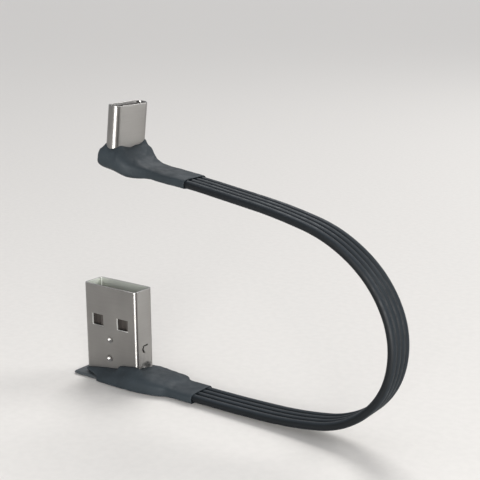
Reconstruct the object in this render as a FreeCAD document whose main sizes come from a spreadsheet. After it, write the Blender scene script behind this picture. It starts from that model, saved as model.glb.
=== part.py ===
"""Short ribbon charging cable: right-angle USB-A plug, four-wire ribbon, right-angle USB-C plug.

Millimetres, +Z up. The USB-A plug stands upright on its flat base plate. The ribbon leaves it
along +X, lies on the surface, arches up and comes back to the USB-C plug above.
The origin is on the surface, under the middle of the two plugs.
"""
import FreeCAD
import Part
import Sketcher

import math
import os
import re

Vector = FreeCAD.Vector

SIZES = {
    # where the two plugs stand
    "PlugAX": -5.3, "PlugCX": -2.7, "PlugCHeight": 38.95, "PlugCPitch": 7.0,
    # ribbon: four parallel wires with their insulation joined
    "WirePitch": 1.31, "WireRadius": 0.67, "CoreRadius": 0.25,
    # USB-A shell
    "ShellWidth": 12.0, "ShellDepth": 4.5, "ShellWall": 0.3, "ShellCorner": 0.7,
    "ShellFoot": 0.6, "ShellTop": 17.0,
    "WindowMiddle": 2.9, "WindowWidth": 2.6, "WindowLow": 9.6, "WindowHigh": 11.7,
    "DimpleRadius": 1.3, "DimpleOut": 1.2, "DimpleHigh": 7.4, "DimpleLow": 3.9,
    "NotchTop": 1.75,
    # USB-A insulator and contacts
    "InsulatorHalfWidth": 5.5, "InsulatorHalfDepth": 1.85, "InsulatorFoot": 3.0,
    "InsulatorBlockTop": 6.5, "TongueTop": 15.9, "TongueFace": -0.05,
    "ContactThickness": 0.25, "ContactWidth": 1.0, "OuterContactX": 3.5, "InnerContactX": 1.0,
    "OuterContactTop": 15.4, "InnerContactTop": 14.4,
    # USB-A board, solder and inner mould
    "BoardFoot": 1.2, "BoardTop": 1.6, "BoardEnd": 9.2, "BoardHalfWidth": 2.6,
    "WireHeight": 0.9, "SolderX": 8.4, "SolderRadius": 0.6, "SolderTip": 0.42, "SolderDepth": 0.55,
    "JacketStart": 10.4, "MouldHalfWidth": 2.8, "MouldNoseFoot": 0.35,
    # base plate
    "PlateEnd": 7.8, "PlateTuck": 7.0, "PlateHalfWidth": 4.0, "PlateThickness": 0.6,
    "PlateCorner": 0.6,
    # ribbon channel in both covers
    "ChannelHalfWidth": 2.66, "ChannelHalfHeight": 0.7, "ChannelLength": 9.0,
    # USB-C shell
    "TipWidth": 8.25, "TipDepth": 2.4, "TipWall": 0.25, "TipCorner": 1.19,
    "TipFoot": 1.2, "TipTop": 10.0,
    # USB-C housing
    "HousingDepth": 1.84, "HousingWidth": 7.69, "HousingCorner": 0.91,
    "HousingFoot": 1.3, "HousingTop": 9.7,
    "SlotHalfDepth": 0.45, "SlotHalfWidth": 3.35, "SlotFloor": 4.1,
    "PinPitch": 0.5, "PinWidth": 0.28, "PinThickness": 0.15, "PinTop": 9.2,
    "PinBumpRadius": 0.2, "PinBumpHeight": 8.0, "PinBumpInset": 0.07,
    "MidPlateHalfThickness": 0.06, "MidPlateHalfWidth": 2.9, "MidPlateTop": 3.9,
    "LatchInner": 3.36, "LatchThickness": 0.18, "LatchHalfWidth": 0.35,
    "LatchFoot": 2.65, "LatchTop": 9.0, "LatchBumpRadius": 0.25, "LatchBumpHeight": 7.8,
    "LatchPocketInner": 3.3, "LatchPocketHalf": 0.5, "LatchPocketFoot": 2.6,
    "SpringInner": 0.8, "SpringHalfWidth": 2.6, "SpringLow": 6.9, "SpringHigh": 9.2,
    # USB-C board and inner mould
    "TailBoardStart": 1.5, "TailBoardEnd": 5.4, "TailBoardHalfWidth": 2.6,
    "TailBoardFoot": 0.3, "TailBoardTop": 0.75,
    "ResistorX": 2.2, "ResistorY": 1.2, "ResistorLength": 1.0, "ResistorWidth": 0.5,
    "ResistorHeight": 0.3, "TailSolderX": 4.7,
    "TailMouldStart": 1.7, "TailMouldHigh": 3.6, "TailMouldMiddle": 5.7, "TailJacketStart": 8.0,
    "TailMouldHalfWidth": 3.3, "TailMouldNoseHalfWidth": 2.75, "TailMouldFoot": 0.45,
}

# Outer outline of each rubber cover, one row per station along the cable's exit direction:
# distance along it, half width, underside, top on the near side, top on the far side.
COVER_COLUMNS = ("Along", "Half", "Under", "Near", "Far")
COVER_A = (
    (-1.9, 4.5, 0.0, 0.95, 0.95),
    (5.4, 4.7, 0.0, 3.7, 2.1),
    (8.0, 4.4, 0.0, 3.2, 2.0),
    (12.4, 3.4, 0.0, 2.1, 1.9),
    (13.3, 2.95, 0.0, 1.8, 1.8),
    (18.4, 2.95, 0.0, 1.8, 1.8),
)
COVER_C = (
    (-2.3, 4.3, -0.7, 2.3, 2.3),
    (-1.1, 4.8, -0.8, 2.8, 2.9),
    (2.4, 4.8, -1.0, 2.8, 3.1),
    (3.6, 4.4, -1.1, 1.9, 2.0),
    (4.9, 3.6, -1.05, 1.25, 1.2),
    (6.6, 3.0, -0.85, 0.9, 0.9),
    (15.1, 2.95, -0.85, 0.85, 0.85),
)
COVER_EDGE = 0.5

# Middle line of the ribbon, as (x, z) points in the plane y = 0. Its first run lies in the
# USB-A cover, straight along X, and its last one in the USB-C cover, on that plug's own axis.
ROUTE = (
    (5.1, 0.9), (13.7, 0.9), (22.7, 1.0), (32.4, 1.4), (41.7, 3.1), (48.4, 9.3), (49.9, 18.2),
    (46.2, 26.4), (38.8, 32.1), (29.6, 34.5), (20.8, 35.85), (12.784, 37.049), (5.24, 37.975),
)
WIRES = ("core_power", "core_data_minus", "core_data_plus", "core_ground")

# Contacts fitted in a USB 2.0 Type-C plug, as positions 0 to 11 of each row of twelve.
FRONT_PINS = (0, 3, 4, 5, 6, 8, 11)
BACK_PINS = (0, 3, 4, 8, 11)

doc = FreeCAD.newDocument("ChargingCable")
nodes = []


def make_sheet():
    """Put every driving size in the spreadsheet, one row each, with its alias."""
    sheet = doc.addObject("Spreadsheet::Sheet", "Sizes")
    rows = dict(SIZES)
    for letter, stations in (("A", COVER_A), ("C", COVER_C)):
        for number, station in enumerate(stations):
            for column, value in zip(COVER_COLUMNS, station):
                rows[f"Cover{letter}{column}{'abcdefg'[number]}"] = value
    rows["CoverEdge"] = COVER_EDGE
    for row, (alias, value) in enumerate(rows.items(), start=1):
        sheet.set(f"A{row}", alias)
        sheet.set(f"B{row}", str(value))
        sheet.setAlias(f"B{row}", alias)
    doc.recompute()
    return rows


def bound(expression):
    """Turn a sum of aliases into an expression on the sheet."""
    return re.sub(r"([A-Z][A-Za-z]+)", r"Sizes.\1", str(expression))


def value_of(term, sizes):
    """Return the number behind an alias that may carry a minus sign."""
    sign = -1.0 if term.startswith("-") else 1.0
    return sign * sizes[term.lstrip("-")]


def add_node(label, pieces, placement):
    """Group the solids of one sub-part, name it and put it in its place."""
    node = doc.addObject("Part::Compound", f"Node_{label}")
    node.Label = label
    node.Links = pieces
    node.Placement = placement
    nodes.append(node)
    return node


def block(x, y, z):
    """Return a box between two expressions along each axis."""
    box = doc.addObject("Part::Box", "Block")
    for side, axis, (low, high) in (("Length", "x", x), ("Width", "y", y), ("Height", "z", z)):
        box.setExpression(side, f"({bound(high)}) - ({bound(low)})")
        box.setExpression(f"Placement.Base.{axis}", bound(low))
    return box


def cylinder(radius, length, position, direction):
    """Return a cylinder that starts at position and runs along direction."""
    rod = doc.addObject("Part::Cylinder", "Rod")
    rod.Placement = FreeCAD.Placement(Vector(), FreeCAD.Rotation(Vector(0, 0, 1), direction))
    rod.setExpression("Radius", bound(radius))
    rod.setExpression("Height", bound(length))
    for axis, term in zip("xyz", position):
        rod.setExpression(f"Placement.Base.{axis}", bound(term))
    return rod


def joined(pieces):
    """Return the union of the pieces."""
    union = doc.addObject("Part::MultiFuse", "Joined")
    union.Shapes = pieces
    return union


def less(base, tools):
    """Return base with the tools cut out of it."""
    result = doc.addObject("Part::Cut", "Less")
    result.Base = base
    result.Tool = tools[0] if len(tools) == 1 else joined(tools)
    return result


def origin_plane(body, role):
    """Return one of the body's own origin planes."""
    return next(item for item in body.Origin.OriginFeatures if item.Role == role)


def add_sketch(body, role, offset="0"):
    """Return a sketch on one of the body's origin planes, offset along its normal."""
    sketch = body.newObject("Sketcher::SketchObject", "Outline")
    sketch.AttachmentSupport = [(origin_plane(body, role), "")]
    sketch.MapMode = "FlatFace"
    sketch.setExpression("AttachmentOffset.Base.z", bound(offset))
    return sketch


def draw_rounded_rectangle(sketch, width, depth, corner):
    """Draw a rounded rectangle about the origin; each size is a (number, expression) pair."""
    half_x = width[0] / 2
    half_y = depth[0] / 2
    radius = corner[0]
    centres = ((half_x - radius, half_y - radius, 0), (radius - half_x, half_y - radius, 90),
               (radius - half_x, radius - half_y, 180), (half_x - radius, radius - half_y, 270))
    arcs = []
    for x, y, start in centres:
        circle = Part.Circle(Vector(x, y, 0), Vector(0, 0, 1), radius)
        arc = Part.ArcOfCircle(circle, math.radians(start), math.radians(start + 90))
        arcs.append(sketch.addGeometry(arc, False))
    ends = ((half_x - radius, half_y, radius - half_x, half_y),
            (-half_x, half_y - radius, -half_x, radius - half_y),
            (radius - half_x, -half_y, half_x - radius, -half_y),
            (half_x, radius - half_y, half_x, half_y - radius))
    lines = []
    for x_a, y_a, x_b, y_b in ends:
        segment = Part.LineSegment(Vector(x_a, y_a, 0), Vector(x_b, y_b, 0))
        lines.append(sketch.addGeometry(segment, False))
    for number in range(4):
        following = (number + 1) % 4
        sketch.addConstraint(Sketcher.Constraint("Tangent", arcs[number], 2, lines[number], 1))
        sketch.addConstraint(Sketcher.Constraint("Tangent", lines[number], 2, arcs[following], 1))
    for number in (1, 2, 3):
        sketch.addConstraint(Sketcher.Constraint("Equal", arcs[0], arcs[number]))
    sketch.addConstraint(Sketcher.Constraint("Horizontal", lines[0]))
    sketch.addConstraint(Sketcher.Constraint("Vertical", lines[1]))
    sketch.addConstraint(Sketcher.Constraint("Symmetric", arcs[0], 3, arcs[2], 3, -1, 1))
    driven = (("Radius", (arcs[0],), corner),
              ("DistanceX", (lines[1], 1, lines[3], 2), width),
              ("DistanceY", (lines[2], 1, lines[0], 2), depth))
    for kind, where, (number, expression) in driven:
        index = sketch.addConstraint(Sketcher.Constraint(kind, *where, number))
        sketch.setExpression(f"Constraints[{index}]", expression)


def rounded_prism(width, depth, corner, foot, top, wall=None):
    """Return a body: an upright rounded rectangle, solid or hollowed to a wall."""
    body = doc.addObject("PartDesign::Body", "Prism")
    sketch = add_sketch(body, "XY_Plane", foot)
    outline = [(SIZES[name], f"Sizes.{name}") for name in (width, depth, corner)]
    draw_rounded_rectangle(sketch, *outline)
    if wall:
        inner = [(number - times * SIZES[wall], f"{expression} - {times} * Sizes.{wall}")
                 for (number, expression), times in zip(outline, (2, 2, 1))]
        draw_rounded_rectangle(sketch, *inner)
    pad = body.newObject("PartDesign::Pad", "Pad")
    pad.Profile = sketch
    pad.setExpression("Length", f"({bound(top)}) - ({bound(foot)})")
    doc.recompute()
    return body


def cover_corners(half, under, near, far, cut_below):
    """Return the corners of a cover's outline as (y, z, steps in y, steps in z) along its edges."""
    above = [("-" + half, near, 0, -1), ("-" + half, near, 1, 0),
             (half, far, -1, 0), (half, far, 0, -1)]
    if cut_below:
        below = [(half, under, 0, 1), (half, under, -1, 0),
                 ("-" + half, under, 1, 0), ("-" + half, under, 0, 1)]
    else:
        below = [(half, under, 0, 0), ("-" + half, under, 0, 0)]
    return above + below


def lofted_cover(letter, stations, sizes, cut_below):
    """Return a cover's outer form: a ruled loft through outlines with their edges cut off."""
    body = doc.addObject("PartDesign::Body", f"Cover{letter}")
    edge = sizes["CoverEdge"]
    sketches = []
    for number in range(len(stations)):
        along, half, under, near, far = (
            f"Cover{letter}{column}{'abcdefg'[number]}" for column in COVER_COLUMNS)
        sketch = add_sketch(body, "YZ_Plane", along)
        corners = cover_corners(half, under, near, far, cut_below)
        points = [Vector(value_of(y, sizes) + dy * edge, value_of(z, sizes) + dz * edge, 0)
                  for y, z, dy, dz in corners]
        for index, point in enumerate(points):
            following = points[(index + 1) % len(points)]
            sketch.addGeometry(Part.LineSegment(point, following), False)
        for index, (y, z, dy, dz) in enumerate(corners):
            before = (index - 1) % len(corners)
            sketch.addConstraint(Sketcher.Constraint("Coincident", before, 2, index, 1))
            for kind, term, step, now in (("DistanceX", y, dy, points[index].x),
                                          ("DistanceY", z, dz, points[index].y)):
                place = sketch.addConstraint(Sketcher.Constraint(kind, -1, 1, index, 1, now))
                sketch.setExpression(f"Constraints[{place}]",
                                     f"{bound(term)} + {step} * Sizes.CoverEdge")
        sketches.append(sketch)
    doc.recompute()
    loft = body.newObject("PartDesign::AdditiveLoft", "Loft")
    loft.Profile = sketches[0]
    loft.Sections = sketches[1:]
    loft.Ruled = True
    doc.recompute()
    return body


def wire_offset(number):
    """Return the expression for the y position of wire 0 to 3."""
    return f"{number - 1.5} * WirePitch"


def solder_cones(along, top, height):
    """Return four solder joints under a board, each with the seat of its wire cut out."""
    cones = []
    for number in range(4):
        cone = doc.addObject("Part::Cone", "Solder")
        cone.setExpression("Radius1", bound("SolderTip"))
        cone.setExpression("Radius2", bound("SolderRadius"))
        cone.setExpression("Height", bound("SolderDepth"))
        cone.setExpression("Placement.Base.x", bound(along))
        cone.setExpression("Placement.Base.y", bound(wire_offset(number)))
        cone.setExpression("Placement.Base.z", f"{bound(top)} - Sizes.SolderDepth")
        seat = cylinder("CoreRadius", "2", (along, wire_offset(number), height), Vector(1, 0, 0))
        cones.append(less(cone, [seat]))
    return cones


def core_seats(along, end, height):
    """Return the four round channels that bare wires lie in between a joint and their jacket."""
    return [cylinder("CoreRadius", f"{end} - {along}", (along, wire_offset(number), height),
                     Vector(1, 0, 0)) for number in range(4)]


def build_plug_a(sizes):
    """Build the USB-A plug in its own frame: plug axis on Z, cable leaving along +X."""
    place = FreeCAD.Placement(Vector(SIZES["PlugAX"], 0, 0), FreeCAD.Rotation())
    x_wide = "ShellWidth / 2"
    y_deep = "ShellDepth / 2"

    tube = rounded_prism("ShellWidth", "ShellDepth", "ShellCorner", "ShellFoot", "ShellTop",
                         wall="ShellWall")
    openings = []
    for side in (-1, 1):
        middle = f"{side} * WindowMiddle"
        openings.append(block((f"{middle} - WindowWidth / 2", f"{middle} + WindowWidth / 2"),
                              (f"-{y_deep} - 1", f"{y_deep} + 1"), ("WindowLow", "WindowHigh")))
    for height in ("DimpleHigh", "DimpleLow"):
        ball = doc.addObject("Part::Sphere", "Dimple")
        ball.setExpression("Radius", bound("DimpleRadius"))
        ball.setExpression("Placement.Base.y", bound(f"-{y_deep} - DimpleOut"))
        ball.setExpression("Placement.Base.z", bound(height))
        openings.append(ball)
    openings.append(block((f"{x_wide} - 2 * ShellWall", f"{x_wide} + 1"),
                          ("-InsulatorHalfDepth", "InsulatorHalfDepth"), ("0", "NotchTop")))
    add_node("a_shell", [less(tube, openings)], place)
    filled = rounded_prism("ShellWidth", "ShellDepth", "ShellCorner", "ShellFoot", "ShellTop")

    strips = {}
    for name, along, top in (("a_contacts_power", "OuterContactX", "OuterContactTop"),
                             ("a_contacts_data", "InnerContactX", "InnerContactTop")):
        strips[name] = [
            block((f"{side} * {along} - ContactWidth / 2", f"{side} * {along} + ContactWidth / 2"),
                  ("TongueFace", "TongueFace + ContactThickness"), ("BoardTop", top))
            for side in (-1, 1)]
        add_node(name, strips[name], place)
    all_strips = strips["a_contacts_power"] + strips["a_contacts_data"]

    base = block(("-InsulatorHalfWidth", "InsulatorHalfWidth"),
                 ("-InsulatorHalfDepth", "InsulatorHalfDepth"),
                 ("InsulatorFoot", "InsulatorBlockTop"))
    tongue = block(("-InsulatorHalfWidth", "InsulatorHalfWidth"),
                   ("-InsulatorHalfDepth", "TongueFace"), ("InsulatorFoot", "TongueTop"))
    add_node("a_insulator", [less(joined([base, tongue]), all_strips)], place)

    board = joined([
        block(("-InsulatorHalfWidth + 0.2", "BoardEnd"),
              ("-InsulatorHalfDepth + 0.1", "InsulatorHalfDepth - 0.1"), ("BoardFoot", "BoardTop")),
        block((f"{x_wide} + 0.2", "BoardEnd"), ("-BoardHalfWidth", "BoardHalfWidth"),
              ("BoardFoot", "BoardTop"))])
    add_node("a_circuit_board", [board], place)
    solder = solder_cones("SolderX", "BoardFoot", "WireHeight")
    add_node("a_solder_joints", solder, place)

    mould_blocks = [
        block(("-InsulatorHalfWidth", "InsulatorHalfWidth"),
              ("-InsulatorHalfDepth", "InsulatorHalfDepth"), ("ShellFoot", "InsulatorFoot")),
        block(("0", "JacketStart"), ("-InsulatorHalfDepth", "InsulatorHalfDepth"),
              ("ShellFoot", "NotchTop")),
        block((x_wide, "JacketStart"), ("-MouldHalfWidth", "MouldHalfWidth"),
              ("ShellFoot", "NotchTop")),
        block(("PlateTuck", "JacketStart"), ("-MouldHalfWidth", "MouldHalfWidth"),
              ("MouldNoseFoot", "NotchTop"))]
    mould = joined(mould_blocks)
    seats = core_seats("SolderX", "JacketStart", "WireHeight")
    add_node("a_inner_mould", [less(mould, [board] + solder + seats + all_strips)], place)

    plate = doc.addObject("PartDesign::Body", "Plate")
    sketch = add_sketch(plate, "XY_Plane")
    length = SIZES["PlateEnd"] + SIZES["PlateTuck"]
    draw_rounded_rectangle(sketch, (length, "Sizes.PlateEnd + Sizes.PlateTuck"),
                           (2 * SIZES["PlateHalfWidth"], "2 * Sizes.PlateHalfWidth"),
                           (SIZES["PlateCorner"], "Sizes.PlateCorner"))
    sketch.setExpression("AttachmentOffset.Base.x", "(Sizes.PlateTuck - Sizes.PlateEnd) / 2")
    pad = plate.newObject("PartDesign::Pad", "Pad")
    pad.Profile = sketch
    pad.setExpression("Length", "Sizes.PlateThickness")
    doc.recompute()
    add_node("a_base_plate", [plate], place)

    channel = block(("JacketStart", "JacketStart + ChannelLength"),
                    ("-ChannelHalfWidth", "ChannelHalfWidth"),
                    ("WireHeight - ChannelHalfHeight", "WireHeight + ChannelHalfHeight"))
    cover = less(lofted_cover("A", COVER_A, sizes, False), [plate, filled, mould, channel])
    add_node("a_cover", [cover], place)


def mirrored(side, low, high):
    """Return the span from low to high, on the positive or the negative side of an axis."""
    return (low, high) if side > 0 else (f"-({high})", f"-({low})")


def pin_row(positions, side):
    """Return one row of USB-C contacts: flat strips, each with a round bump near its end."""
    pins = []
    across = mirrored(side, "SlotHalfDepth", "SlotHalfDepth + PinThickness")
    for position in positions:
        left = f"{position - 5.5} * PinPitch - PinWidth / 2"
        strip = block(across, (left, f"{left} + PinWidth"), ("TailBoardTop", "PinTop"))
        bump_axis = (f"{side} * (SlotHalfDepth + PinBumpInset)", left, "PinBumpHeight")
        bump = cylinder("PinBumpRadius", "PinWidth", bump_axis, Vector(0, 1, 0))
        pins.append(joined([strip, bump]))
    return pins


def latch(side):
    """Return one side latch: a flat leaf with a round bump on its inner face."""
    outer = "LatchInner + LatchThickness"
    across = ("-LatchHalfWidth", "LatchHalfWidth")
    leaf = block(across, mirrored(side, "LatchInner", outer), ("LatchFoot", "LatchTop"))
    bump = cylinder("LatchBumpRadius", "2 * LatchHalfWidth",
                    ("-LatchHalfWidth", f"{side} * LatchInner", "LatchBumpHeight"), Vector(1, 0, 0))
    beyond = block(across, mirrored(side, outer, f"{outer} + 1"), ("LatchFoot", "LatchTop"))
    return less(joined([leaf, bump]), [beyond])


def build_plug_c(sizes):
    """Build the USB-C plug in its own frame: plug axis on Z, cable leaving along +X."""
    rotation = FreeCAD.Rotation(Vector(0, 1, 0), SIZES["PlugCPitch"])
    place = FreeCAD.Placement(Vector(SIZES["PlugCX"], 0, SIZES["PlugCHeight"]), rotation)

    shell = rounded_prism("TipDepth", "TipWidth", "TipCorner", "TipFoot", "TipTop",
                          wall="TipWall")
    add_node("c_shell", [shell], place)
    filled = rounded_prism("TipDepth", "TipWidth", "TipCorner", "TipFoot", "TipTop")

    front = pin_row(FRONT_PINS, 1)
    back = pin_row(BACK_PINS, -1)
    add_node("c_contacts_front", front, place)
    add_node("c_contacts_back", back, place)

    mid_plate = block(("-MidPlateHalfThickness", "MidPlateHalfThickness"),
                      ("-MidPlateHalfWidth", "MidPlateHalfWidth"), ("HousingFoot", "MidPlateTop"))
    add_node("c_mid_plate", [mid_plate], place)

    slot = block(("-SlotHalfDepth", "SlotHalfDepth"), ("-SlotHalfWidth", "SlotHalfWidth"),
                 ("SlotFloor", "TipTop"))
    housing_tools = [slot, mid_plate] + front + back
    for side, label in ((-1, "c_latch_near"), (1, "c_latch_far")):
        add_node(label, [latch(side)], place)
        housing_tools.append(
            block(("-LatchPocketHalf", "LatchPocketHalf"),
                  mirrored(side, "LatchPocketInner", "TipWidth / 2"), ("LatchPocketFoot", "TipTop")))
    for side, label in ((1, "c_ground_spring_front"), (-1, "c_ground_spring_back")):
        spring = block(mirrored(side, "SpringInner", "HousingDepth / 2"),
                       ("-SpringHalfWidth", "SpringHalfWidth"), ("SpringLow", "SpringHigh"))
        add_node(label, [spring], place)
        housing_tools.append(spring)
    solid = rounded_prism("HousingDepth", "HousingWidth", "HousingCorner",
                          "HousingFoot", "HousingTop")
    add_node("c_housing", [less(solid, housing_tools)], place)

    board = block(("-TailBoardStart", "TailBoardEnd"),
                  ("-TailBoardHalfWidth", "TailBoardHalfWidth"), ("TailBoardFoot", "TailBoardTop"))
    add_node("c_circuit_board", [board], place)
    resistor = block(("ResistorX", "ResistorX + ResistorLength"),
                     ("ResistorY", "ResistorY + ResistorWidth"),
                     ("TailBoardTop", "TailBoardTop + ResistorHeight"))
    add_node("c_resistor", [resistor], place)
    solder = solder_cones("TailSolderX", "TailBoardFoot", "0")
    add_node("c_solder_joints", solder, place)

    mould = joined([
        block(("-TailMouldStart", "TailMouldHigh"),
              ("-TailMouldHalfWidth", "TailMouldHalfWidth"), ("-TailMouldFoot", "TipFoot")),
        block(("-TailMouldStart", "TailMouldMiddle"),
              ("-TailMouldNoseHalfWidth", "TailMouldNoseHalfWidth"),
              ("-TailMouldFoot", "TailBoardTop + 0.1")),
        block(("-TailMouldStart", "TailJacketStart"),
              ("-TailMouldNoseHalfWidth", "TailMouldNoseHalfWidth"),
              ("-TailMouldFoot", "TailMouldFoot"))])
    seats = core_seats("TailSolderX", "TailJacketStart", "0")
    cut_from_mould = [board, resistor] + solder + seats + front + back
    add_node("c_inner_mould", [less(mould, cut_from_mould)], place)

    channel = block(("TailJacketStart", "TailJacketStart + ChannelLength"),
                    ("-ChannelHalfWidth", "ChannelHalfWidth"),
                    ("-ChannelHalfHeight", "ChannelHalfHeight"))
    cover = less(lofted_cover("C", COVER_C, sizes, True), [filled, mould, channel])
    add_node("c_cover", [cover], place)


def ribbon_path(first_extra=0.0, last_extra=0.0):
    """Return the ribbon's middle line: straight runs joined by the largest tangent arcs."""
    points = [Vector(x, 0, z) for x, z in ROUTE]
    runs = [(after - before).Length for before, after in zip(points, points[1:])]
    points[0] += (points[0] - points[1]).normalize() * first_extra
    points[-1] += (points[-1] - points[-2]).normalize() * last_extra
    edges = []
    radii = []
    start = points[0]
    for number in range(1, len(points) - 1):
        corner = points[number]
        towards_last = (points[number - 1] - corner).normalize()
        towards_next = (points[number + 1] - corner).normalize()
        half_turn = (math.pi - towards_last.getAngle(towards_next)) / 2
        reach = 0.45 * min(runs[number - 1], runs[number])
        radius = reach / math.tan(half_turn)
        middle_way = (towards_last + towards_next).normalize()
        middle = corner + middle_way * (radius / math.cos(half_turn) - radius)
        arc_start = corner + towards_last * reach
        arc_end = corner + towards_next * reach
        edges.append(Part.LineSegment(start, arc_start).toShape())
        edges.append(Part.Arc(arc_start, middle, arc_end).toShape())
        radii.append(radius)
        start = arc_end
    edges.append(Part.LineSegment(start, points[-1]).toShape())
    return Part.Wire(edges), radii


def ribbon_outline():
    """Return the ribbon's outer section at the start of the route: four lobes side by side."""
    pitch = SIZES["WirePitch"]
    radius = SIZES["WireRadius"]
    cusp = math.sqrt(radius ** 2 - (pitch / 2) ** 2)
    x, z = ROUTE[0]

    def at(across, up):
        return Vector(x, across, z + up)

    edges = []
    for side in (1, -1):
        for number in range(4):
            centre = side * (number - 1.5) * pitch
            left = at(centre - side * pitch / 2, side * cusp)
            right = at(centre + side * pitch / 2, side * cusp)
            if number == 0:
                left = at(centre - side * radius, 0)
            if number == 3:
                right = at(centre + side * radius, 0)
            edges.append(Part.Arc(left, at(centre, side * radius), right).toShape())
    return Part.Wire(edges)


def build_ribbon():
    """Sweep the four bare wires and the insulation around them along the route."""
    spine, radii = ribbon_path()
    print("ribbon radii", [round(radius, 1) for radius in radii])
    outer = spine.makePipeShell([ribbon_outline()], True, False)
    cores = []
    reach_a = SIZES["JacketStart"] - SIZES["SolderX"]
    reach_c = SIZES["TailJacketStart"] - SIZES["TailSolderX"]
    for number, label in enumerate(WIRES):
        across = (number - 1.5) * SIZES["WirePitch"]
        path = ribbon_path(reach_a, reach_c)[0]
        path.translate(Vector(0, across, 0))
        start = Vector(ROUTE[0][0] - reach_a, across, ROUTE[0][1])
        circle = Part.Wire(Part.Circle(start, Vector(1, 0, 0), SIZES["CoreRadius"]).toShape())
        core = path.makePipeShell([circle], True, False)
        cores.append(core)
        feature = doc.addObject("Part::Feature", f"Node_{label}")
        feature.Shape = core
        feature.Label = label
        nodes.append(feature)
        section = math.pi * SIZES["CoreRadius"] ** 2
        print(label, "volume", round(core.Volume, 3), "section x length",
              round(section * path.Length, 3))
    jacket = outer
    for core in cores:
        jacket = jacket.cut(core)
    feature = doc.addObject("Part::Feature", "Node_ribbon_jacket")
    feature.Shape = jacket
    feature.Label = "ribbon_jacket"
    nodes.append(feature)
    section = Part.Face(ribbon_outline()).Area - 4 * math.pi * SIZES["CoreRadius"] ** 2
    print("ribbon_jacket volume", round(jacket.Volume, 3), "section x length",
          round(section * spine.Length, 3), "length", round(spine.Length, 2))


def check_and_export():
    """Stop on any failed feature or bad solid, then write one STEP file for each node."""
    failed = [item.Name for item in doc.Objects if {"Invalid", "Error"} & set(item.State)]
    if failed:
        raise RuntimeError(f"failed features: {failed}")
    os.makedirs("parts", exist_ok=True)
    for node in nodes:
        shape = node.Shape
        if shape.isNull() or not shape.isValid() or not shape.Solids:
            raise RuntimeError(f"bad shape: {node.Label}")
        shape.exportStep(f"parts/{node.Label}.step")
        box = shape.BoundBox
        print(f"{node.Label:24s} solids {len(shape.Solids):2d} volume {shape.Volume:9.3f}"
              f"  x {box.XMin:6.2f} {box.XMax:6.2f}  y {box.YMin:5.2f} {box.YMax:5.2f}"
              f"  z {box.ZMin:6.2f} {box.ZMax:6.2f}")


def main():
    """Build the sheet, both plugs and the ribbon, then write them."""
    sizes = make_sheet()
    build_plug_a(sizes)
    build_plug_c(sizes)
    build_ribbon()
    doc.recompute()
    check_and_export()


main()
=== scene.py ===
"""Short ribbon charging cable: the visible pieces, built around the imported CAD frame.

Lengths are millimetres in this file's numbers and metres in the scene, +Z up.
"""

import math

import bmesh
import bpy
from mathutils import Matrix, Vector, noise


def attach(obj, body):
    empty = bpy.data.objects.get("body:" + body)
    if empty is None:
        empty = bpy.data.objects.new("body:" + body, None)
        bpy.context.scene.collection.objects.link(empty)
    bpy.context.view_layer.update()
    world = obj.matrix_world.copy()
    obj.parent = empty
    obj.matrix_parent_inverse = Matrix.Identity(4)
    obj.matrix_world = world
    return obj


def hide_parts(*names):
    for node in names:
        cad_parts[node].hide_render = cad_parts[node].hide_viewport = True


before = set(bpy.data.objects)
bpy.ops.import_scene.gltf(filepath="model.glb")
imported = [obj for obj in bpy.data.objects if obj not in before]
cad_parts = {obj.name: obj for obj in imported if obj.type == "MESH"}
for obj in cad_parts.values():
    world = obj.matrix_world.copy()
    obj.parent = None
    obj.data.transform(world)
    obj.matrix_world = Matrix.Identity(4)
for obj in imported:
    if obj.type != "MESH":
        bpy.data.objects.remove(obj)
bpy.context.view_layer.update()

MM = 0.001
ROOT = "cable"

# The two plugs' own frames: plug axis on Z, cable leaving along +X.
PLUG_A = Matrix.Translation((-5.3, 0.0, 0.0))
PLUG_C = Matrix.Translation((-2.7, 0.0, 38.95)) @ Matrix.Rotation(math.radians(7.0), 4, "Y")

# Middle line of the ribbon, as (x, z) points in the plane y = 0.
ROUTE = (
    (5.1, 0.9), (13.7, 0.9), (22.7, 1.0), (32.4, 1.4), (41.7, 3.1), (48.4, 9.3), (49.9, 18.2),
    (46.2, 26.4), (38.8, 32.1), (29.6, 34.5), (20.8, 35.85), (12.784, 37.049), (5.24, 37.975),
)
WIRES = 4
WIRE_PITCH = 1.31
WIRE_RADIUS = 0.67
WEB_HALF = 0.14
RIBBON_WIDTH = (WIRES - 1) * WIRE_PITCH + 2 * WIRE_RADIUS

# The camera's place, and its turn, tilt up from straight down and roll in degrees.
CAMERA_PLACE = (111.73, -124.23, 67.58)
CAMERA_TURN = 36.08
CAMERA_TILT = 90.0 - 14.13
CAMERA_ROLL = -0.22
CAMERA_LENS = 75.8


# ---------------------------------------------------------------- camera, floor and light

def add_camera():
    """Put the camera at the photograph's viewing angle."""
    data = bpy.data.cameras.new("camera")
    data.lens = CAMERA_LENS
    data.sensor_width = 36.0
    data.clip_start = 0.01
    camera = bpy.data.objects.new("camera", data)
    camera.location = Vector(CAMERA_PLACE) * MM
    turn = Matrix.Rotation(math.radians(CAMERA_TURN), 4, "Z")
    tilt = Matrix.Rotation(math.radians(CAMERA_TILT), 4, "X")
    roll = Matrix.Rotation(math.radians(CAMERA_ROLL), 4, "Z")
    camera.rotation_euler = (turn @ tilt @ roll).to_euler()
    bpy.context.scene.collection.objects.link(camera)
    bpy.context.scene.camera = camera


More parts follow.
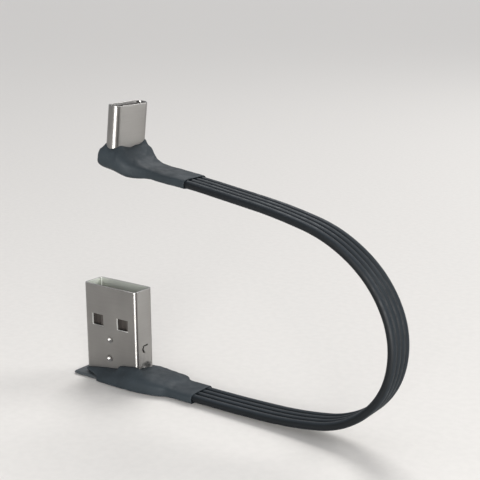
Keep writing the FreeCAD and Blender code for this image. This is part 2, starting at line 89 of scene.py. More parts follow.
def add_area_light(name, place, target, size, power):
    """Add a rectangular soft light that faces the target point, and return it."""
    data = bpy.data.lights.new(name, "AREA")
    data.shape = "RECTANGLE"
    data.size = size[0] * MM
    data.size_y = size[1] * MM
    data.energy = power
    light = bpy.data.objects.new(name, data)
    light.location = Vector(place) * MM
    aim = (Vector(target) - Vector(place)).normalized()
    light.rotation_euler = aim.to_track_quat("-Z", "Y").to_euler()
    bpy.context.scene.collection.objects.link(light)
    return light


def add_floor():
    """Add the plain pale floor, a hair below the part so that their faces don't coincide."""
    reach, gap = 12.0, 0.00002
    mesh = bpy.data.meshes.new("floor")
    mesh.from_pydata([(-reach, -reach, 0), (reach, -reach, 0), (reach, reach, 0), (-reach, reach, 0)],
                     [], [(0, 1, 2, 3)])
    floor = bpy.data.objects.new("floor", mesh)
    floor.location.z = -gap
    bpy.context.scene.collection.objects.link(floor)
    look = Look("floor_paper", (0.71, 0.685, 0.65), 0.7, specular=0.2)
    look.vary_colour(look.noise(700.0, detail=2.0), 0.985, 1.015)
    mesh.materials.append(look.material)


def add_lights():
    """Add the pale surroundings and the soft studio lights.

    The strip is seen only by gloss. It draws the bright upright line on the steel bends.
    """
    add_surroundings()
    bpy.context.scene.view_settings.view_transform = "Standard"
    data = bpy.data.lights.new("key", "SUN")
    data.energy = 1.5
    data.angle = math.radians(28.0)
    key = bpy.data.objects.new("key", data)
    key.rotation_euler = Vector((-0.25, 0.55, 0.8)).to_track_quat("Z", "Y").to_euler()
    bpy.context.scene.collection.objects.link(key)
    add_area_light("fill", (205, -270, 70), (0.0, 0.0, 20.0), (200, 120), 1.25)
    add_area_light("back", (330, 420, 330), (240.0, 330.0, 0.0), (300, 300), 1.4)
    strip = add_area_light("strip", (210, -230, 100), (0.0, 0.0, 60.0), (140, 200), 0.6)
    strip.visible_diffuse = False
    strip.visible_camera = False


def add_surroundings():
    """Light the scene with a pale room that is darker towards +X."""
    pale, dark = 0.5, 0.06
    world = bpy.data.worlds.new("surroundings")
    world.use_nodes = True
    tree = world.node_tree
    background = tree.nodes["Background"]
    background.inputs["Color"].default_value = (0.93, 0.95, 1.0, 1.0)
    place = tree.nodes.new("ShaderNodeTexCoord")
    facing = tree.nodes.new("ShaderNodeVectorMath")
    facing.operation = "DOT_PRODUCT"
    facing.inputs[1].default_value = (0.995, -0.1, 0.0)
    level = tree.nodes.new("ShaderNodeMapRange")
    for slot, number in (("From Min", 0.7), ("From Max", 0.92), ("To Min", pale), ("To Max", dark)):
        level.inputs[slot].default_value = number
    tree.links.new(place.outputs["Generated"], facing.inputs[0])
    tree.links.new(facing.outputs["Value"], level.inputs["Value"])
    tree.links.new(level.outputs["Result"], background.inputs["Strength"])
    bpy.context.scene.world = world


# ---------------------------------------------------------------- materials

class Look:
    """A procedural material: a Principled shader and the textures that drive it."""

    def __init__(self, name, colour, roughness, metallic=0.0, specular=0.5):
        self.material = bpy.data.materials.new(name)
        self.material.use_nodes = True
        self.tree = self.material.node_tree
        self.shader = self.tree.nodes["Principled BSDF"]
        self.colour = (*colour, 1.0)
        self.shader.inputs["Base Color"].default_value = self.colour
        self.shader.inputs["Roughness"].default_value = roughness
        self.shader.inputs["Metallic"].default_value = metallic
        self.shader.inputs["Specular IOR Level"].default_value = specular
        self.place = self.tree.nodes.new("ShaderNodeTexCoord")

    def add(self, kind, **settings):
        """Add a node and set its properties."""
        node = self.tree.nodes.new(kind)
        for name, value in settings.items():
            setattr(node, name, value)
        return node

    def noise(self, scale, stretch=(1.0, 1.0, 1.0), detail=4.0, source="Object"):
        """Return a noise value; scale is in cycles per metre, or per unit of UV."""
        mapping = self.add("ShaderNodeMapping")
        mapping.inputs["Scale"].default_value = stretch
        texture = self.add("ShaderNodeTexNoise")
        texture.inputs["Scale"].default_value = scale
        texture.inputs["Detail"].default_value = detail
        self.tree.links.new(self.place.outputs[source], mapping.inputs["Vector"])
        self.tree.links.new(mapping.outputs["Vector"], texture.inputs["Vector"])
        return texture.outputs["Fac"]

    def remap(self, value, low, high, to_low, to_high):
        """Map value from the span low..high to the span to_low..to_high."""
        node = self.add("ShaderNodeMapRange")
        for slot, number in zip(("From Min", "From Max", "To Min", "To Max"),
                                (low, high, to_low, to_high)):
            node.inputs[slot].default_value = number
        self.tree.links.new(value, node.inputs["Value"])
        return node.outputs["Result"]

    def vary_colour(self, value, dark, light, low=0.35, high=0.65):
        """Multiply the colour so far by a factor from dark to light."""
        factor = self.remap(value, low, high, dark, light)
        node = self.add("ShaderNodeVectorMath", operation="SCALE")
        socket = self.shader.inputs["Base Color"]
        if socket.is_linked:
            self.tree.links.new(socket.links[0].from_socket, node.inputs[0])
        else:
            node.inputs[0].default_value = self.colour[:3]
        self.tree.links.new(factor, node.inputs["Scale"])
        self.tree.links.new(node.outputs["Vector"], socket)

    def blend_colour(self, value, other, low, high):
        """Blend the colour so far towards another where value passes from low to high."""
        share = self.remap(value, low, high, 0.0, 1.0)
        node = self.add("ShaderNodeMix", data_type="RGBA")
        socket = self.shader.inputs["Base Color"]
        if socket.is_linked:
            self.tree.links.new(socket.links[0].from_socket, node.inputs[6])
        else:
            node.inputs[6].default_value = self.colour
        node.inputs[7].default_value = (*other, 1.0)
        self.tree.links.new(share, node.inputs[0])
        self.tree.links.new(node.outputs[2], socket)

    def vary_roughness(self, value, smooth, rough):
        """Drive the roughness from smooth to rough."""
        self.tree.links.new(self.remap(value, 0.35, 0.65, smooth, rough),
                            self.shader.inputs["Roughness"])

    def split(self, source):
        """Return the three outputs of a texture coordinate."""
        node = self.add("ShaderNodeSeparateXYZ")
        self.tree.links.new(self.place.outputs[source], node.inputs["Vector"])
        return node.outputs

    def compute(self, operation, value, number=0.0):
        """Return a math node's result for a value, and for a number if it takes a second."""
        node = self.add("ShaderNodeMath", operation=operation)
        node.inputs[1].default_value = number
        self.tree.links.new(value, node.inputs[0])
        return node.outputs[0]

    def bump(self, value, height):
        """Add relief of that height in millimetres on top of the relief so far."""
        node = self.add("ShaderNodeBump")
        node.inputs["Distance"].default_value = height * MM
        node.inputs["Strength"].default_value = 1.0
        socket = self.shader.inputs["Normal"]
        if socket.is_linked:
            self.tree.links.new(socket.links[0].from_socket, node.inputs["Normal"])
        self.tree.links.new(value, node.inputs["Height"])
        self.tree.links.new(node.outputs["Normal"], socket)


def rubber_look():
    """Matt charcoal rubber of the covers: fine moulded grain, faint mottling and scuffs."""
    look = Look("cover_rubber", (0.024, 0.031, 0.036), 0.6, specular=0.2)
    look.vary_colour(look.noise(230.0, detail=3.0), 0.86, 1.16)
    look.blend_colour(look.noise(1500.0, detail=6.0), (0.045, 0.055, 0.06), 0.64, 0.82)
    look.vary_roughness(look.noise(700.0, detail=5.0), 0.52, 0.68)
    look.bump(look.noise(9000.0, detail=2.0), 0.008)
    look.bump(look.noise(900.0, detail=4.0), 0.03)
    return look.material


def ribbon_look():
    """Rubber drawn as wire insulation: faint lines along its length, and painted shade that darkens
    it between the wires and at its edges.
    """
    look = Look("ribbon_rubber", (0.0145, 0.0195, 0.024), 0.5, specular=0.22)
    streaks = look.noise(1.0, (25.0, 0.12, 1.0), detail=3.0, source="UV")
    look.vary_colour(streaks, 0.86, 1.15)
    # Painted shade: the colour drops to 0.3 of itself between the wires and at the ribbon's edges,
    # where the grooves fall in shade.
    turn = look.compute("MULTIPLY", look.split("UV")["X"], math.pi)
    painted_groove_shade = look.compute("ABSOLUTE", look.compute("SINE", turn))
    look.vary_colour(painted_groove_shade, 0.3, 1.0, 0.15, 0.7)
    look.vary_colour(look.noise(160.0, detail=3.0), 0.92, 1.08)
    look.vary_roughness(look.noise(900.0, detail=4.0), 0.46, 0.6)
    look.bump(streaks, 0.012)
    look.bump(look.noise(7000.0, detail=3.0), 0.005)
    return look.material


def steel_look(name, colour, rough=(0.34, 0.4), metallic=1.0, rim=None):
    """Drawn stainless steel with a fine grain round the plug and soft blotches.

    The grain runs round the plug, so lights stretch into upright lines on the bends. A rim
    colour replaces the other at the mouth of the USB-A plug.
    """
    look = Look(name, colour, 0.3, metallic=metallic)
    lines = look.noise(5200.0, (0.05, 0.05, 1.0), detail=2.0)
    look.vary_colour(lines, 0.985, 1.015)
    if rim:
        look.blend_colour(look.split("Object")["Z"], rim, 15.5 * MM, 16.2 * MM)
    look.vary_colour(look.noise(160.0, detail=1.0), 0.96, 1.04)
    look.vary_roughness(look.noise(300.0, (1.0, 1.0, 0.4), detail=2.0), *rough)
    look.shader.inputs["Anisotropic"].default_value = 0.95
    look.shader.inputs["Anisotropic Rotation"].default_value = 0.25
    grain = look.add("ShaderNodeTangent", direction_type="RADIAL", axis="Z")
    look.tree.links.new(grain.outputs["Tangent"], look.shader.inputs["Tangent"])
    return look.material


def plastic_look(name, colour, roughness, grain=0.004, specular=0.5):
    """Moulded plastic with a fine grain and faint flow marks."""
    look = Look(name, colour, roughness, specular=specular)
    look.vary_colour(look.noise(400.0, detail=4.0), 0.88, 1.12)
    look.vary_roughness(look.noise(1300.0, detail=3.0), roughness - 0.06, roughness + 0.08)
    look.bump(look.noise(8000.0, detail=2.0), grain)
    return look.material


def plated_look(name, colour, smooth, rough):
    """Plated or bare metal with fine rubbing marks."""
    look = Look(name, colour, smooth, metallic=1.0)
    marks = look.noise(6000.0, (0.2, 1.0, 0.05), detail=4.0)
    look.vary_colour(look.noise(900.0, detail=3.0), 0.85, 1.1)
    look.vary_roughness(marks, smooth, rough)
    look.bump(marks, 0.002)
    return look.material


def board_look():
    """Green solder mask with the faint relief and colour of the tracks beneath it."""
    look = Look("board_green", (0.02, 0.14, 0.06), 0.3)
    tracks = look.add("ShaderNodeTexBrick", offset=0.35)
    tracks.inputs["Scale"].default_value = 420.0
    tracks.inputs["Mortar Size"].default_value = 0.03
    look.tree.links.new(look.place.outputs["Object"], tracks.inputs["Vector"])
    look.blend_colour(tracks.outputs["Fac"], (0.05, 0.25, 0.1), 0.2, 0.8)
    look.vary_colour(look.noise(700.0), 0.9, 1.1)
    look.bump(tracks.outputs["Fac"], 0.02)
    return look.material


# ---------------------------------------------------------------- mesh helpers

def new_piece(name, vertices, faces, material, body=ROOT, place=Matrix.Identity(4)):
    """Make a piece from millimetre points in a plug's frame, and ride it on a body."""
    mesh = bpy.data.meshes.new(name)
    mesh.from_pydata([place @ Vector(point) * MM for point in vertices], [], faces)
    work = bmesh.new()
    work.from_mesh(mesh)
    bmesh.ops.recalc_face_normals(work, faces=work.faces)
    work.to_mesh(mesh)
    work.free()
    mesh.shade_smooth()
    mesh.materials.append(material)
    piece = bpy.data.objects.new(name, mesh)
    bpy.context.scene.collection.objects.link(piece)
    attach(piece, body)
    return piece


def rings_to_faces(rings, close=False):
    """Join rings of equal length into quads; end faces shut the form unless it closes on itself."""
    count = len(rings[0])
    total = len(rings)
    faces = []
    for row in range(total if close else total - 1):
        here = row * count
        there = ((row + 1) % total) * count
        for step in range(count):
            following = (step + 1) % count
            faces.append((here + step, here + following, there + following, there + step))
    if not close:
        faces.append(tuple(range(count - 1, -1, -1)))
        faces.append(tuple(range((total - 1) * count, total * count)))
    return faces


def flatten(rings):
    """Return the points of all rings in one list."""
    return [point for ring in rings for point in ring]


def bevel(piece, width, segments, angle):
    """Round the piece's edges that are sharper than the angle, and return the modifier."""
    modifier = piece.modifiers.new("edge", "BEVEL")
    modifier.width = width * MM
    modifier.segments = segments
    modifier.limit_method = "ANGLE"
    modifier.angle_limit = math.radians(angle)
    return modifier


def eased(rows, x):
    """Return the row of values at x, on smooth curves through the rows that never overshoot."""
    columns = len(rows[0]) - 1
    last = len(rows) - 2
    index = next((number for number in range(last) if x <= rows[number + 1][0]), last)
    before, after = rows[index], rows[index + 1]
    span = after[0] - before[0]
    share = min(1.0, max(0.0, (x - before[0]) / span))
    values = []
    for column in range(1, columns + 1):
        steps = [(b[column] - a[column]) / (b[0] - a[0]) for a, b in zip(rows, rows[1:])]

        def slope(number):
            if number in (0, len(rows) - 1):
                return steps[min(number, len(steps) - 1)]
            left, right = steps[number - 1], steps[number]
            return 0.0 if left * right <= 0 else 2 * left * right / (left + right)

        square, cube = share ** 2, share ** 3
        values.append(
            (2 * cube - 3 * square + 1) * before[column]
            + (cube - 2 * square + share) * span * slope(index)
            + (3 * square - 2 * cube) * after[column]
            + (cube - square) * span * slope(index + 1))
    return values


def smoothstep(low, high, value):
    """Return 0 below low, 1 above high and an even slope between."""
    share = min(1.0, max(0.0, (value - low) / (high - low)))
    return share * share * (3 - 2 * share)


def rounded_outline(width, depth, corner, straight_x, straight_y, turns=6):
    """Return points round a rounded rectangle as (x, y, normal x, normal y), from -x,-y round."""
    half_x, half_y = width / 2, depth / 2
    flat_x, flat_y = half_x - corner, half_y - corner
    xs = sorted(value for value in straight_x if abs(value) <= flat_x)
    ys = sorted(value for value in straight_y if abs(value) <= flat_y)
    points = [(x, -half_y, 0.0, -1.0) for x in xs]
    corners = ((flat_x, -flat_y, -90), (flat_x, flat_y, 0), (-flat_x, flat_y, 90),
               (-flat_x, -flat_y, 180))
    sides = ([(half_x, y, 1.0, 0.0) for y in ys],
             [(x, half_y, 0.0, 1.0) for x in reversed(xs)],
             [(-half_x, y, -1.0, 0.0) for y in reversed(ys)], [])
    for (centre_x, centre_y, start), side in zip(corners, sides):
        for step in range(1, turns):
            angle = math.radians(start + 90 * step / turns)
            cos, sin = math.cos(angle), math.sin(angle)
            points.append((centre_x + corner * cos, centre_y + corner * sin, cos, sin))
        points += side
    return points


def spaced(low, high, step, *marks):
    """Return values from low to high at about that step, with the marks among them."""
    stops = sorted({low, high, *[mark for mark in marks if low < mark < high]})
    values = []
    for start, end in zip(stops, stops[1:]):
        count = max(1, round((end - start) / step))
        values += [start + (end - start) * number / count for number in range(count)]
    return values + [high]


# ---------------------------------------------------------------- ribbon

def ribbon_spine():
    """Return the points of a smooth NURBS line along the route, in metres."""
    curve = bpy.data.curves.new("ribbon_route", "CURVE")
    curve.dimensions = "3D"
    curve.resolution_u = 24
    spline = curve.splines.new("NURBS")
    spline.points.add(len(ROUTE) - 1)
    for point, (x, z) in zip(spline.points, ROUTE):
        point.co = (x * MM, 0.0, z * MM, 1.0)
    spline.order_u = 3
    spline.use_endpoint_u = True
    line = bpy.data.objects.new("ribbon_route", curve)
    mesh = bpy.data.meshes.new_from_object(line)
    points = [vertex.co.copy() for vertex in mesh.vertices]
    bpy.data.objects.remove(line)
    bpy.data.meshes.remove(mesh)
    return points


def wire_middles():
    """Return how far across the ribbon each wire's middle is."""
    return [(number - (WIRES - 1) / 2) * WIRE_PITCH for number in range(WIRES)]


def ribbon_half_height(across):
    """Return the ribbon's half thickness at a distance across it: four lobes and thin webs."""
    off_middle = min(abs(across - middle) for middle in wire_middles())
    lobe = math.sqrt(max(0.0, WIRE_RADIUS ** 2 - off_middle ** 2))
    if abs(across) > wire_middles()[-1]:
        return lobe
    return (lobe ** 4 + WEB_HALF ** 4) ** 0.25


def ribbon_outline():
    """Return the ribbon's section as (across, up) points."""
    half = RIBBON_WIDTH / 2
    steps = 14
    top = []
    for number, middle in enumerate(wire_middles()):
        for step in range(steps):
            outer = (number == 0 and step < steps / 2) or (number == WIRES - 1 and step > steps / 2)
            reach = WIRE_RADIUS if outer else WIRE_PITCH / 2
            across = middle + reach * math.cos(math.pi * (1 - step / steps))
            top.append((across, ribbon_half_height(across)))
    top = top[1:]
    under = [(across, -up) for across, up in reversed(top)]
    return [(-half, 0.0)] + top + [(half, 0.0)] + under


def add_ribbon(material):
    """In its UV map, X counts wires across the ribbon and Y is the length in millimetres.
    """
    spine = ribbon_spine()
    outline = ribbon_outline()
    rings = []
    along = 0.0
    lengths = []
    for number, point in enumerate(spine):
        before = spine[max(0, number - 1)]
        after = spine[min(len(spine) - 1, number + 1)]
        along += (point - before).length / MM
        lengths.append(along)
        tangent = (after - before).normalized()
        across = Vector((0.0, 1.0, 0.0))
        up = tangent.cross(across)
        ring = []
        for side, height in outline:
            ripple = 1.0 + 0.02 * noise.noise(Vector((along * 0.35, round(side / WIRE_PITCH), 0.0)))
            ring.append(point / MM + across * side + up * height * ripple)
        rings.append(ring)
    faces = rings_to_faces(rings)
    piece = new_piece("ribbon", flatten(rings), faces, material)
    layer = piece.data.uv_layers.new(name="UVMap")
    count = len(outline)
    for loop in piece.data.loops:
        ring, step = divmod(loop.vertex_index, count)
        layer.data[loop.index].uv = (outline[step % count][0] / WIRE_PITCH, lengths[ring])
    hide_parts("ribbon_jacket")


# ---------------------------------------------------------------- rubber covers

def superellipse(angle, power):
    """Return the unit superellipse's point at an angle."""
    cos, sin = math.cos(angle), math.sin(angle)
    return (math.copysign(abs(cos) ** (2 / power), cos), math.copysign(abs(sin) ** (2 / power), sin))


def cover_section(row, count=120):
    """Return a cover's section as (y, z) points, from a row of COVER_A or COVER_C."""
    near_half, far_half, under, near, far, upper, lower = row
    middle = under + 0.42 * (min(near, far) - under)
    points = []
    for step in range(count):
        angle = 2 * math.pi * step / count - math.pi / 2
        side, height = superellipse(angle, upper if math.sin(angle) > 0 else lower)
        top = near + (far - near) * (side + 1) / 2
        points.append((side * (far_half if side > 0 else near_half),
                       middle + height * (top - middle if height > 0 else middle - under)))
    return points


def channel_section(height, grow=0.0, count=120):
    """Return the outline of the ribbon's channel, grown all round."""
    half_width, half_height, power = 2.74, 0.73, 5.0
    points = []
    for step in range(count):
        side, up = superellipse(2 * math.pi * step / count - math.pi / 2, power)
        points.append(((half_width + grow) * side, height + (half_height + grow) * up))
    return points


def inset(section, amount):
    """Return a section shrunk by that amount on every side."""
    ys = [y for y, _ in section]
    zs = [z for _, z in section]
    middle_y, middle_z = (max(ys) + min(ys)) / 2, (max(zs) + min(zs)) / 2
    scale_y = 1 - amount / ((max(ys) - min(ys)) / 2)
    scale_z = 1 - amount / ((max(zs) - min(zs)) / 2)
    return [(middle_y + (y - middle_y) * scale_y, middle_z + (z - middle_z) * scale_z)
            for y, z in section]


def cover_rings(rows, wire_height, shape):
    """Return a cover's rings: rounded far end, body, lip, and a channel for the ribbon."""
    step, edge, lip, flare = 0.16, 0.3, 0.12, 0.06
    start, end = rows[0][0], rows[-1][0]
    rings = []

    def add(x, section):
        rings.append([shape(x, y, z) for y, z in section])

    for turn in (0, 25, 50, 75):
        angle = math.radians(turn)
        x = start + edge * (1 - math.cos(angle))
        add(x, inset(cover_section(eased(rows, x)), edge * (1 - math.sin(angle))))
    for x in spaced(start + edge, end - lip, step):
        add(x, cover_section(eased(rows, x)))
    outer = cover_section(eased(rows, end))
    for turn in (30, 60, 90):
        angle = math.radians(turn)
        add(end - lip * (1 - math.sin(angle)), inset(outer, lip * (1 - math.cos(angle))))
    for turn in (90, 60, 30, 0):
        angle = math.radians(turn)
        grow = flare * (1 - math.cos(angle))
        add(end - flare * (1 - math.sin(angle)), channel_section(wire_height, grow))
    for x in (end - 0.5, end - 1.2, end - 2.6):
        add(x, channel_section(wire_height))
    return rings


# Distance along the cable, near and far half width, underside, height of the near and far top,
# and the superellipse powers of the upper and lower half.
COVER_A = (
    (-1.9, 4.45, 4.45, 0.0, 1.6, 0.95, 2.4, 9.0),
    (0.0, 4.6, 4.55, 0.0, 2.05, 1.4, 2.5, 9.0),
    (2.0, 4.7, 4.62, 0.0, 2.5, 1.8, 2.6, 9.0),
    (4.0, 4.7, 4.68, 0.0, 3.0, 2.1, 2.7, 9.0),
    (6.0, 4.68, 4.68, 0.0, 3.5, 2.25, 2.7, 9.0),
    (8.0, 4.45, 4.55, 0.0, 3.1, 2.2, 2.9, 9.0),
    (10.2, 4.0, 4.35, 0.0, 2.65, 2.15, 3.0, 9.0),
    (11.8, 3.5, 4.2, 0.0, 2.3, 2.1, 3.2, 8.0),
    (12.6, 3.15, 3.95, 0.0, 2.05, 2.0, 3.4, 7.0),
    (13.4, 2.98, 3.2, 0.0, 1.86, 1.86, 3.8, 6.0),
    (14.4, 2.95, 2.95, 0.0, 1.8, 1.8, 4.2, 5.0),
    (18.4, 2.95, 2.95, 0.02, 1.8, 1.8, 4.2, 5.0),
)
COVER_C = (
    (-2.3, 4.3, 4.3, -0.6, 2.6, 2.5, 3.6, 3.0),
    (-1.4, 4.75, 4.75, -0.85, 3.05, 3.05, 4.4, 3.0),
    (0.5, 4.85, 4.85, -1.0, 3.15, 3.15, 4.4, 3.0),
    (1.9, 4.85, 4.75, -1.15, 2.85, 3.0, 4.0, 3.0),
    (2.9, 4.7, 4.4, -1.35, 2.3, 2.3, 3.4, 3.0),
    (3.8, 4.35, 3.95, -1.5, 1.8, 1.75, 3.2, 3.0),
    (4.9, 3.75, 3.5, -1.45, 1.45, 1.35, 3.4, 3.0),
    (6.4, 3.2, 3.1, -1.15, 1.06, 1.0, 4.0, 3.6),
    (8.5, 2.97, 2.97, -0.9, 0.86, 0.86, 4.2, 4.2),
    (15.1, 2.95, 2.95, -0.86, 0.86, 0.86, 4.2, 4.2),
)
# Where the USB-C cover's collar climbs or dips against the shell: x, y, height.
COLLAR_C = ((0.97, 3.63, 0.75), (-0.97, -3.63, 0.6), (1.2, -2.6, 0.35), (1.2, -0.2, -0.3))


def soften(x, y, z, amount, seed):
    """Return a small hand-moulded unevenness at a point of a cover."""
    coarse = noise.noise(Vector((x * 0.33, y * 0.33, z * 0.33 + seed)))
    fine = noise.noise(Vector((x * 0.9, y * 0.9, z * 0.9 - seed)))
    return amount * (0.7 * coarse + 0.3 * fine)


def crease(x, y, z, amount, seed):
    """Return the height of the skin's soft diagonal folds at a point."""
    folds = noise.noise(Vector(((x + 0.8 * y) * 0.4, (x - y) * 0.12, z * 0.25 + seed)))
    return amount * (1 - min(1.0, abs(folds) * 4.0)) ** 2


def shape_cover_a(x, y, z):
    """Draw the near side out along the shell's foot, and add the folds against the shell."""
    reach = 3.9 * min(1.0, max(0.0, (6.0 - x) / 7.9))
    x -= reach * smoothstep(-4.3, -2.5, y) * (1 - smoothstep(-1.6, 0.6, y))
    lift = 0.0
    if z > 0.35:
        near_shell = math.exp(-((y + 2.5) / 0.75) ** 2)
        lift += 0.6 * near_shell * smoothstep(1.8, 2.15, x) * (1 - smoothstep(6.4, 7.6, x))
        lift += (soften(x, y, z, 0.1, 3.0) + crease(x, y, z, 0.03, 2.0)) * smoothstep(0.3, 1.0, z)
    return (x, y + soften(x, y, z, 0.06, 8.0), max(0.0, z + lift))


def shape_cover_c(x, y, z):
    """Add the USB-C cover's collar against the shell, and the skin folds."""
    away = max(0.0, math.hypot(x, max(0.0, abs(y) - 2.925)) - 1.2)
    collar = sum(height * math.exp(-((x - peak_x) ** 2 + (y - peak_y) ** 2) / 0.8)
                 for peak_x, peak_y, height in COLLAR_C)
    lift = collar * math.exp(-(away / 0.5) ** 2) * smoothstep(0.8, 2.0, z)
    lift += soften(x, y, z, 0.1, 1.0)
    lift += crease(x, y, z, 0.09, 4.0) * smoothstep(-0.2, 0.8, z) * (1 - smoothstep(4.0, 6.5, x))
    return (x, y + soften(x, y, z, 0.08, 5.0), z + lift)


def add_covers(material):
    """Add both rubber covers in place of their CAD forms."""
    for name, rows, height, shape, place in (
            ("a_rubber_cover", COVER_A, 0.9, shape_cover_a, PLUG_A),
            ("c_rubber_cover", COVER_C, 0.0, shape_cover_c, PLUG_C)):
        rings = cover_rings(rows, height, shape)
        piece = new_piece(name, flatten(rings), rings_to_faces(rings), material,
                          place=place)
        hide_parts(name[:2] + "cover")


# ---------------------------------------------------------------- steel shells

SHELL_A_WALL = 0.3
# The windows' spans in x, and the height they share.
WINDOWS = ((-4.2, -1.6), (1.6, 4.2))
WINDOW_SPAN = (9.6, 11.7)
# The bent slit on the cable side: y, height.
LANCE = ((0.6, 7.0), (-0.3, 6.95), (-0.6, 6.45), (-0.25, 5.8))
# The pressed dimples of the near face: x, height, radius, depth.
DIMPLES = ((-0.1, 7.45, 0.7, 0.4), (-0.35, 3.9, 0.78, 0.44))


def press(distance, radius, depth):
    """Return the depth of a smooth pressed mark at a distance from its middle."""
    share = distance / radius
    return depth * (1 - share ** 2) ** 2 if share < 1 else 0.0


def off_line(y, z, line):
    """Return the distance from a point to a line of straight pieces."""
    nearest = math.inf
    for (y0, z0), (y1, z1) in zip(line, line[1:]):
        run = ((y - y0) * (y1 - y0) + (z - z0) * (z1 - z0)) / ((y1 - y0) ** 2 + (z1 - z0) ** 2)
        run = min(1.0, max(0.0, run))
        nearest = min(nearest, math.hypot(y - y0 - run * (y1 - y0), z - z0 - run * (z1 - z0)))
    return nearest


def shell_relief(x, y, normal_x, normal_y, z):
    """Return how far the USB-A shell's skin is pressed in at a point."""
    if normal_y < -0.9:
        return sum(press(math.hypot(x - mark_x, z - mark_z), radius, depth)
                   for mark_x, mark_z, radius, depth in DIMPLES)
    if normal_y > 0.9:
        return sum(press(math.hypot(x, z - height), 0.5, 0.2) for height in (7.35, 3.9))
    if normal_x > 0.9:
        oval = press(math.hypot(y / 1.6, (z - 3.1) / 0.95), 1.0, 0.36)
        return oval + press(off_line(y, z, LANCE), 0.2, 0.1)
    return 0.0


def add_shell_a(material, inside, edge, slit):
    """Build the USB-A shell as one bent skin with its windows cut out, then give it thickness.

    The skin's grid is finer where the dimples, the oval and the slit lie. The slit is not cut
    open: its faces take a near-black material, painted shade standing in for the dark plastic
    and the shade seen through the cut.
    """
    width, depth, corner = 12.0, 4.5, 0.7
    foot, mouth, notch_top = 0.6, 17.0, 2.3
    flat_x, flat_y = width / 2 - corner, depth / 2 - corner
    xs = spaced(-flat_x, flat_x, 0.3, *[x for window in WINDOWS for x in window],
                *[-1.2 + 0.07 * number for number in range(30)])
    ys = spaced(-flat_y, flat_y, 0.08)
    outline = rounded_outline(width, depth, corner, xs, ys, turns=8)
    heights = spaced(foot, mouth, 0.35, *WINDOW_SPAN, notch_top,
                     *[2.5 + 0.075 * number for number in range(75)])
    count = len(outline)
    rings = []
    for z in heights:
        ring = []
        for x, y, normal_x, normal_y in outline:
            relief = shell_relief(x, y, normal_x, normal_y, z)
            ring.append((x - normal_x * relief, y - normal_y * relief, z))
        rings.append(ring)

    def is_open(row, step):
        x = (outline[step][0] + outline[(step + 1) % count][0]) / 2
        y = (outline[step][1] + outline[(step + 1) % count][1]) / 2
        z = (heights[row] + heights[row + 1]) / 2
        in_window = (abs(y) > 2.2 and WINDOW_SPAN[0] < z < WINDOW_SPAN[1]
                     and any(low < x < high for low, high in WINDOWS))
        return in_window or (x > 5.9 and abs(y) < 1.6 and z < notch_top)

    faces = []
    for row in range(len(heights) - 1):
        for step in range(count):
            following = (step + 1) % count
            if not is_open(row, step):
                here, there = row * count, (row + 1) * count
                faces.append((here + step, here + following, there + following, there + step))
    piece = new_piece("a_steel_shell", flatten(rings), faces, material, place=PLUG_A)
    # The piece's materials: 0 outside, 1 inside (a lighter steel tone, painted light), 2 cut edges (a
    # near-white steel tone, painted highlight), 3 slit (near-black, painted shade).
    for extra in (inside, edge, slit):
        piece.data.materials.append(extra)
    # Faces along the slit take the near-black material: painted shade in place of a cut.
    slit_half = 0.13
    for face in piece.data.polygons:
        x, y, z = PLUG_A.inverted() @ (face.center / MM)
        if x > 5.5 and off_line(y, z, LANCE) < slit_half:
            face.material_index = 3
    skin = piece.modifiers.new("thickness", "SOLIDIFY")
    skin.thickness = SHELL_A_WALL * MM
    skin.offset = -1.0
    skin.material_offset = 1
    # The cut edges and their rounding take the near-white copy of the steel: a painted highlight.
    skin.material_offset_rim = 2
    bevel(piece, 0.11, 3, 50.0).material = 2
    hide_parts("a_shell")


def add_shell_c(material):
    """Build the seamless USB-C shell with its rounded tip."""
    depth, width, corner = 2.4, 8.25, 1.19
    wall, tip, foot = 0.22, 10.0, 1.2
    outer_edge, inner_edge = 0.12, 0.1
    flat = spaced(-2.9, 2.9, 0.4, -2.8, 2.8)
    profile = [(0.0, foot), (0.0, 2.0), (0.0, 4.0), (0.0, 6.0), (0.0, 8.0), (0.0, 9.4)]
    for turn in (0, 22, 45, 67, 90):
        angle = math.radians(turn)
        profile.append((outer_edge * (1 - math.cos(angle)), tip - outer_edge * (1 - math.sin(angle))))
    for turn in (0, 30, 60, 90):
        angle = math.radians(turn)
        profile.append((wall - inner_edge * (1 - math.sin(angle)),
                        tip - inner_edge * (1 - math.cos(angle))))
    profile += [(wall, 9.0), (wall, 6.0), (wall, 3.0), (wall, foot)]
    rings = []
    for inward, z in profile:
        rings.append([(x - normal_x * inward, y - normal_y * inward, z)
                      for x, y, normal_x, normal_y in
                      rounded_outline(depth, width, corner, (0.0,), flat, turns=14)])
    piece = new_piece("c_steel_shell", flatten(rings), rings_to_faces(rings, close=True),
                      material, place=PLUG_C)
    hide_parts("c_shell")


# ---------------------------------------------------------------- base plate

def add_base_plate(material):
    """Build the thin plate under the USB-A plug, with a broad chamfer round its upper edge."""
    length, width, corner, middle_x = 14.8, 8.0, 0.6, -0.4
    xs = spaced(-6.9, 6.9, 0.6)
    ys = spaced(-3.4, 3.4, 0.6)
    rings = []
    for inward, z in ((0.35, 0.0), (0.1, 0.12), (0.0, 0.24), (0.0, 0.36), (0.08, 0.46),
                      (0.32, 0.58), (0.4, 0.6)):
        rings.append([(x + middle_x - normal_x * inward, y - normal_y * inward, z)
                      for x, y, normal_x, normal_y in
                      rounded_outline(length, width, corner, xs, ys, turns=8)])
    piece = new_piece("a_plate", flatten(rings), rings_to_faces(rings), material,
                      place=PLUG_A)
    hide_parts("a_base_plate")


# ---------------------------------------------------------------- pieces kept from the frame

def dress(nodes, material, edge=None):
    """Give CAD nodes a material, and rounded edges where their corners would be too sharp."""
    for name in nodes:
        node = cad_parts[name]
        node.data.materials.clear()
        node.data.materials.append(material)
        if edge:
            bevel(node, edge, 2, 40.0)


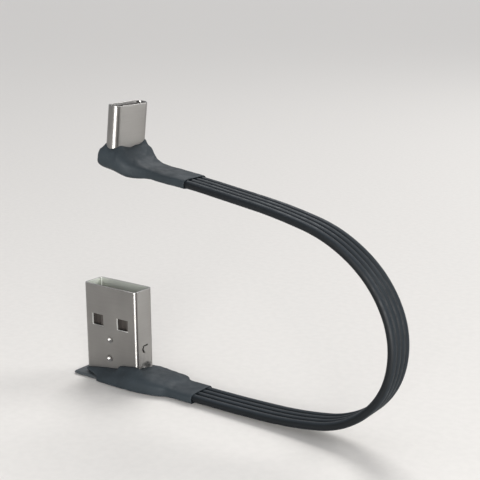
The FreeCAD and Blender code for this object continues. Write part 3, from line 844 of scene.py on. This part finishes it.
def carve_pockets(insulator):
    """Cut the pockets behind the near face's windows, with a rib in the left one."""
    depth, height = 1.3, 2.5
    work = bmesh.new()
    for low, high in ((-4.4, -2.45), (-2.1, -1.4), (1.4, 3.55)):
        middle = Vector(((low + high) / 2, -1.4, 10.65))
        for vertex in bmesh.ops.create_cube(work, size=1.0)["verts"]:
            corner = Vector((vertex.co.x * (high - low), vertex.co.y * depth, vertex.co.z * height))
            vertex.co = PLUG_A @ (middle + corner) * MM
    mesh = bpy.data.meshes.new("pocket_cutter")
    work.to_mesh(mesh)
    work.free()
    cutter = bpy.data.objects.new("pocket_cutter", mesh)
    cut = insulator.modifiers.new("pockets", "BOOLEAN")
    cut.operation = "DIFFERENCE"
    cut.solver = "EXACT"
    cut.object = cutter


def dress_inner_parts():
    """Give every CAD node that is kept its material and edges."""
    black = plastic_look("insulator_plastic", (0.05, 0.043, 0.038), 0.45)
    gold = plated_look("contact_gold", (0.86, 0.62, 0.26), 0.2, 0.36)
    spring = steel_look("spring_steel", (0.55, 0.55, 0.54), (0.2, 0.34))
    tin = plated_look("solder_tin", (0.62, 0.63, 0.64), 0.16, 0.4)
    copper = plated_look("core_copper", (0.75, 0.36, 0.2), 0.22, 0.4)
    carve_pockets(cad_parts["a_insulator"])
    dress(("a_insulator",), black, 0.06)
    dress(("c_housing",), black, 0.03)
    dress(("a_contacts_power", "a_contacts_data"), gold, 0.04)
    dress(("c_contacts_front", "c_contacts_back"), gold, 0.02)
    dress(("c_latch_near", "c_latch_far", "c_mid_plate", "c_ground_spring_front",
           "c_ground_spring_back"), spring, 0.02)
    dress(("a_circuit_board", "c_circuit_board"), board_look(), 0.03)
    dress(("a_solder_joints", "c_solder_joints"), tin)
    dress(("core_power", "core_data_minus", "core_data_plus", "core_ground"), copper)
    dress(("c_resistor",), plastic_look("resistor_black", (0.02, 0.02, 0.022), 0.35), 0.04)
    dress(("a_inner_mould", "c_inner_mould"),
          plastic_look("inner_mould_plastic", (0.5, 0.5, 0.47), 0.5), 0.1)


def main():
    """Build the scene."""
    add_camera()
    add_ribbon(ribbon_look())
    add_floor()
    add_lights()
    add_covers(rubber_look())
    steel = steel_look("plug_steel", (0.33, 0.32, 0.305))
    # The inner walls take a lighter copy of the steel, 0.6 against 0.33: painted light on the inside
    # of the shell, on top of a rougher finish.
    add_shell_a(steel, steel_look("plug_steel_inside_painted_light", (0.6, 0.62, 0.56), (0.5, 0.6), 0.5),
                # The cut edges take a near-white copy of the steel, a painted highlight on the
                # window, notch and foot edges. At the mouth it gives way to the plain steel tone.
                steel_look("plug_steel_edge_painted_highlight", (0.85, 0.85, 0.81), (0.5, 0.6), 0.4, (0.3, 0.29, 0.28)),
                # The slit's near-black material is painted shade, standing in for the dark plastic
                # behind the cut.
                plastic_look("slit_plastic_and_painted_shade", (0.02, 0.018, 0.016), 0.6, specular=0.1))
    add_shell_c(steel)
    add_base_plate(plastic_look("base_plastic", (0.04, 0.048, 0.052), 0.42))
    dress_inner_parts()


main()
